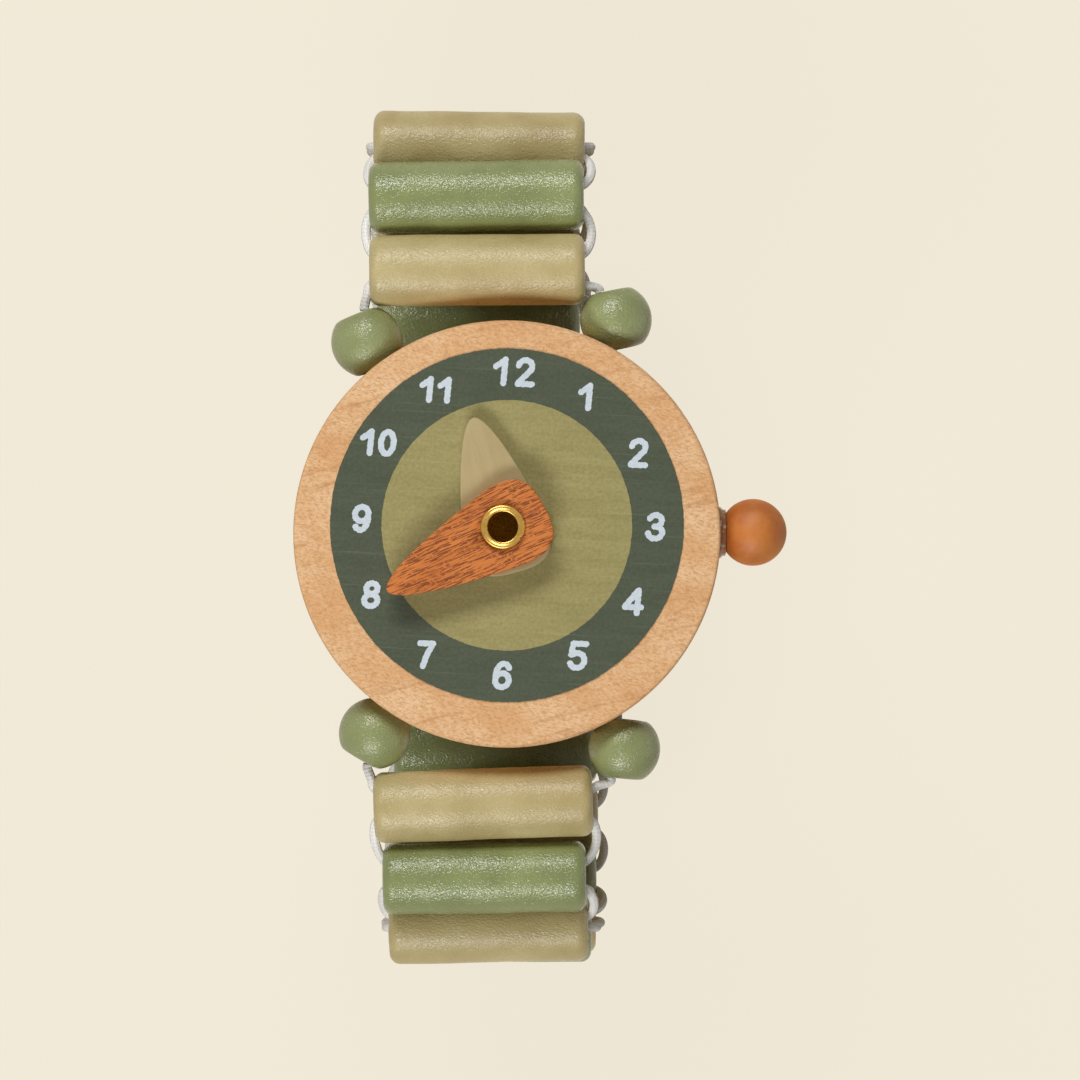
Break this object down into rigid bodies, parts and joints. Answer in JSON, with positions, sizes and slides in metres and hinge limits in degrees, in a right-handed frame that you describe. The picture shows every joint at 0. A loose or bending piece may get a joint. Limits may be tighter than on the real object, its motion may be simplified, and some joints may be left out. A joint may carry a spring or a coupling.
{
  "type": "toy wristwatch",
  "caption": "Wooden toy wristwatch: printed dial with two hands that turn on an eyelet, and a closed strap of tube beads on elastic cord.",
  "frame": {"origin": "on the surface that the strap's rear bars stand on, under the middle of the bounding box", "axes": "+Z is the dial's normal, +Y points to 12 o'clock along the strap, +X points to the crown at 3 o'clock"},
  "size_m": [0.0412, 0.073, 0.0388],
  "materials": {
    "natural_beech": "sanded bare beech, satin",
    "dark_print": "flat printed ink",
    "olive_print": "flat printed ink",
    "white_print": "flat printed ink",
    "brass": "rolled brass, bright",
    "beige_stain": "stained plywood, matt",
    "terracotta_stain": "stained wood with open grain, matt",
    "terracotta_paint": "painted wood, matt",
    "beige_paint": "sprayed water paint, satin",
    "green_paint": "sprayed water paint, satin",
    "elastic": "braided cover over a rubber core",
    "clear_glue": "clear wood glue, glossy"
  },
  "bodies": {
    "case": {"case_disc": "natural_beech", "dial_ring": "dark_print", "dial_centre": "olive_print", "numerals": "white_print", "eyelet": "brass", "rear_washer": "brass", "crown_ball": "terracotta_paint", "crown_pin": "natural_beech", "crown_glue": "clear_glue", "case_elastic": "elastic"},
    "hour_hand": {"hour_hand": "beige_stain"},
    "minute_hand": {"minute_hand": "terracotta_stain"},
    "bead_upper_left": {"bead_upper_left": "green_paint"},
    "bead_upper_right": {"bead_upper_right": "green_paint"},
    "bead_lower_left": {"bead_lower_left": "green_paint"},
    "bead_lower_right": {"bead_lower_right": "green_paint"},
    "strap_upper_1": {"bar_upper_1": "beige_paint", "elastic_upper_1": "elastic"},
    "strap_upper_2": {"bar_upper_2": "green_paint", "elastic_upper_2": "elastic"},
    "strap_upper_3": {"bar_upper_3": "beige_paint", "elastic_upper_3": "elastic"},
    "strap_upper_4": {"bar_upper_4": "green_paint", "elastic_upper_4": "elastic"},
    "strap_upper_5": {"bar_upper_5": "beige_paint", "elastic_upper_5": "elastic"},
    "strap_upper_6": {"bar_upper_6": "green_paint", "elastic_upper_6": "elastic"},
    "strap_upper_7": {"bar_upper_7": "beige_paint", "elastic_upper_7": "elastic"},
    "strap_upper_8": {"bar_upper_8": "green_paint", "elastic_upper_8": "elastic"},
    "strap_upper_9": {"bar_upper_9": "beige_paint", "elastic_upper_9": "elastic"},
    "strap_upper_10": {"bar_upper_10": "green_paint", "elastic_upper_10": "elastic"},
    "strap_rear": {"bar_rear": "beige_paint", "elastic_rear": "elastic"},
    "strap_lower_1": {"bar_lower_1": "beige_paint", "elastic_lower_1": "elastic"},
    "strap_lower_2": {"bar_lower_2": "green_paint", "elastic_lower_2": "elastic"},
    "strap_lower_3": {"bar_lower_3": "beige_paint", "elastic_lower_3": "elastic"},
    "strap_lower_4": {"bar_lower_4": "green_paint", "elastic_lower_4": "elastic"},
    "strap_lower_5": {"bar_lower_5": "beige_paint", "elastic_lower_5": "elastic"},
    "strap_lower_6": {"bar_lower_6": "green_paint", "elastic_lower_6": "elastic"},
    "strap_lower_7": {"bar_lower_7": "beige_paint", "elastic_lower_7": "elastic"},
    "strap_lower_8": {"bar_lower_8": "green_paint", "elastic_lower_8": "elastic"},
    "strap_lower_9": {"bar_lower_9": "beige_paint", "elastic_lower_9": "elastic"},
    "strap_lower_10": {"bar_lower_10": "green_paint", "elastic_lower_10": "elastic"}
  },
  "joints": [
    {"name": "hour_hand_turn", "type": "hinge", "parent": "case", "child": "hour_hand", "pos_m": [-0.00315, 0.00083, 0.03644], "axis": [0, 0, 1], "continuous": true},
    {"name": "minute_hand_turn", "type": "hinge", "parent": "case", "child": "minute_hand", "pos_m": [-0.00315, 0.00083, 0.03764], "axis": [0, 0, 1], "continuous": true},
    {"name": "bead_upper_left_spin", "type": "hinge", "parent": "case", "child": "bead_upper_left", "pos_m": [-0.01457, 0.01636, 0.03174], "axis": [-0.3746, 0.9272, 0], "continuous": true},
    {"name": "bead_upper_right_spin", "type": "hinge", "parent": "case", "child": "bead_upper_right", "pos_m": [0.00628, 0.01819, 0.03174], "axis": [-0.2079, 0.9781, 0], "continuous": true},
    {"name": "bead_lower_left_spin", "type": "hinge", "parent": "case", "child": "bead_lower_left", "pos_m": [-0.01392, -0.01645, 0.03174], "axis": [-0.5, -0.866, 0], "continuous": true},
    {"name": "bead_lower_right_spin", "type": "hinge", "parent": "case", "child": "bead_lower_right", "pos_m": [0.00698, -0.01774, 0.03174], "axis": [-0.1045, -0.9945, 0], "continuous": true},
    {"name": "strap_fold", "type": "hinge", "parent": "case", "child": "strap_upper_1", "pos_m": [-0.00432, 0.01955, 0.03174], "axis": [1, 0, 0], "range_deg": [-8, 5], "stiffness_Nm_per_rad": 0.2},
    {"name": "strap_upper_2_pivot", "type": "hinge", "parent": "strap_upper_1", "child": "strap_upper_2", "pos_m": [-0.00432, 0.02236, 0.03174], "axis": [1, 0, 0], "range_deg": [-7, 4.45], "stiffness_Nm_per_rad": 0.2},
    {"name": "strap_upper_3_pivot", "type": "hinge", "parent": "strap_upper_2", "child": "strap_upper_3", "pos_m": [-0.00432, 0.0286, 0.03087], "axis": [1, 0, 0], "range_deg": [-2.8, 4.36], "stiffness_Nm_per_rad": 0.2},
    {"name": "strap_upper_4_pivot", "type": "hinge", "parent": "strap_upper_3", "child": "strap_upper_4", "pos_m": [-0.00432, 0.03305, 0.02641], "axis": [1, 0, 0], "range_deg": [-3.45, 5.4], "stiffness_Nm_per_rad": 0.2},
    {"name": "strap_upper_5_pivot", "type": "hinge", "parent": "strap_upper_4", "child": "strap_upper_5", "pos_m": [-0.00432, 0.03349, 0.02013], "axis": [1, 0, 0], "range_deg": [-3.35, 5.24], "stiffness_Nm_per_rad": 0.2},
    {"name": "strap_upper_6_pivot", "type": "hinge", "parent": "strap_upper_5", "child": "strap_upper_6", "pos_m": [-0.00432, 0.03324, 0.01383], "axis": [1, 0, 0], "range_deg": [-4.95, 7.8], "stiffness_Nm_per_rad": 0.2},
    {"name": "strap_upper_7_pivot", "type": "hinge", "parent": "strap_upper_6", "child": "strap_upper_7", "pos_m": [-0.00432, 0.03035, 0.00824], "axis": [1, 0, 0], "range_deg": [-2.85, 4.44], "stiffness_Nm_per_rad": 0.2},
    {"name": "strap_upper_8_pivot", "type": "hinge", "parent": "strap_upper_7", "child": "strap_upper_8", "pos_m": [-0.00432, 0.02499, 0.00493], "axis": [1, 0, 0], "range_deg": [-1.32, 0.9], "stiffness_Nm_per_rad": 0.2},
    {"name": "strap_upper_9_pivot", "type": "hinge", "parent": "strap_upper_8", "child": "strap_upper_9", "pos_m": [-0.00432, 0.01889, 0.00333], "axis": [1, 0, 0], "range_deg": [-2.68, 1.75], "stiffness_Nm_per_rad": 0.2},
    {"name": "strap_upper_10_pivot", "type": "hinge", "parent": "strap_upper_9", "child": "strap_upper_10", "pos_m": [-0.00432, 0.0126, 0.003], "axis": [1, 0, 0], "range_deg": [-3.08, 2], "stiffness_Nm_per_rad": 0.2},
    {"name": "strap_rear_pivot", "type": "hinge", "parent": "strap_upper_10", "child": "strap_rear", "pos_m": [-0.00432, 0.0063, 0.003], "axis": [1, 0, 0], "range_deg": [-5.16, 3.3], "stiffness_Nm_per_rad": 0.2},
    {"name": "strap_lower_1_pivot", "type": "hinge", "parent": "case", "child": "strap_lower_1", "pos_m": [-0.00432, -0.01955, 0.03174], "axis": [1, 0, 0], "range_deg": [-5.2, 8.2], "stiffness_Nm_per_rad": 0.2},
    {"name": "strap_lower_2_pivot", "type": "hinge", "parent": "strap_lower_1", "child": "strap_lower_2", "pos_m": [-0.00432, -0.02236, 0.03174], "axis": [1, 0, 0], "range_deg": [-4.45, 7], "stiffness_Nm_per_rad": 0.2},
    {"name": "strap_lower_3_pivot", "type": "hinge", "parent": "strap_lower_2", "child": "strap_lower_3", "pos_m": [-0.00432, -0.0286, 0.03087], "axis": [1, 0, 0], "range_deg": [-4.36, 2.8], "stiffness_Nm_per_rad": 0.2},
    {"name": "strap_lower_4_pivot", "type": "hinge", "parent": "strap_lower_3", "child": "strap_lower_4", "pos_m": [-0.00432, -0.03305, 0.02641], "axis": [1, 0, 0], "range_deg": [-5.4, 3.45], "stiffness_Nm_per_rad": 0.2},
    {"name": "strap_lower_5_pivot", "type": "hinge", "parent": "strap_lower_4", "child": "strap_lower_5", "pos_m": [-0.00432, -0.03349, 0.02013], "axis": [1, 0, 0], "range_deg": [-5.24, 3.35], "stiffness_Nm_per_rad": 0.2},
    {"name": "strap_lower_6_pivot", "type": "hinge", "parent": "strap_lower_5", "child": "strap_lower_6", "pos_m": [-0.00432, -0.03324, 0.01383], "axis": [1, 0, 0], "range_deg": [-7.8, 4.95], "stiffness_Nm_per_rad": 0.2},
    {"name": "strap_lower_7_pivot", "type": "hinge", "parent": "strap_lower_6", "child": "strap_lower_7", "pos_m": [-0.00432, -0.03035, 0.00824], "axis": [1, 0, 0], "range_deg": [-4.44, 2.85], "stiffness_Nm_per_rad": 0.2},
    {"name": "strap_lower_8_pivot", "type": "hinge", "parent": "strap_lower_7", "child": "strap_lower_8", "pos_m": [-0.00432, -0.02499, 0.00493], "axis": [1, 0, 0], "range_deg": [-0.9, 1.32], "stiffness_Nm_per_rad": 0.2},
    {"name": "strap_lower_9_pivot", "type": "hinge", "parent": "strap_lower_8", "child": "strap_lower_9", "pos_m": [-0.00432, -0.01889, 0.00333], "axis": [1, 0, 0], "range_deg": [-1.75, 2.68], "stiffness_Nm_per_rad": 0.2},
    {"name": "strap_lower_10_pivot", "type": "hinge", "parent": "strap_lower_9", "child": "strap_lower_10", "pos_m": [-0.00432, -0.0126, 0.003], "axis": [1, 0, 0], "range_deg": [-2, 3.08], "stiffness_Nm_per_rad": 0.2}
  ],
  "couplings": [
    {"joint": "strap_upper_2_pivot", "follows": "strap_fold", "ratio": 0.85},
    {"joint": "strap_upper_3_pivot", "follows": "strap_fold", "ratio": -0.52},
    {"joint": "strap_upper_4_pivot", "follows": "strap_fold", "ratio": -0.65},
    {"joint": "strap_upper_5_pivot", "follows": "strap_fold", "ratio": -0.63},
    {"joint": "strap_upper_6_pivot", "follows": "strap_fold", "ratio": -0.95},
    {"joint": "strap_upper_7_pivot", "follows": "strap_fold", "ratio": -0.53},
    {"joint": "strap_upper_8_pivot", "follows": "strap_fold", "ratio": 0.14},
    {"joint": "strap_upper_9_pivot", "follows": "strap_fold", "ratio": 0.31},
    {"joint": "strap_upper_10_pivot", "follows": "strap_fold", "ratio": 0.36},
    {"joint": "strap_rear_pivot", "follows": "strap_fold", "ratio": 0.62},
    {"joint": "strap_lower_1_pivot", "follows": "strap_fold", "ratio": -1},
    {"joint": "strap_lower_2_pivot", "follows": "strap_fold", "ratio": -0.85},
    {"joint": "strap_lower_3_pivot", "follows": "strap_fold", "ratio": 0.52},
    {"joint": "strap_lower_4_pivot", "follows": "strap_fold", "ratio": 0.65},
    {"joint": "strap_lower_5_pivot", "follows": "strap_fold", "ratio": 0.63},
    {"joint": "strap_lower_6_pivot", "follows": "strap_fold", "ratio": 0.95},
    {"joint": "strap_lower_7_pivot", "follows": "strap_fold", "ratio": 0.53},
    {"joint": "strap_lower_8_pivot", "follows": "strap_fold", "ratio": -0.14},
    {"joint": "strap_lower_9_pivot", "follows": "strap_fold", "ratio": -0.31},
    {"joint": "strap_lower_10_pivot", "follows": "strap_fold", "ratio": -0.36}
  ]
}
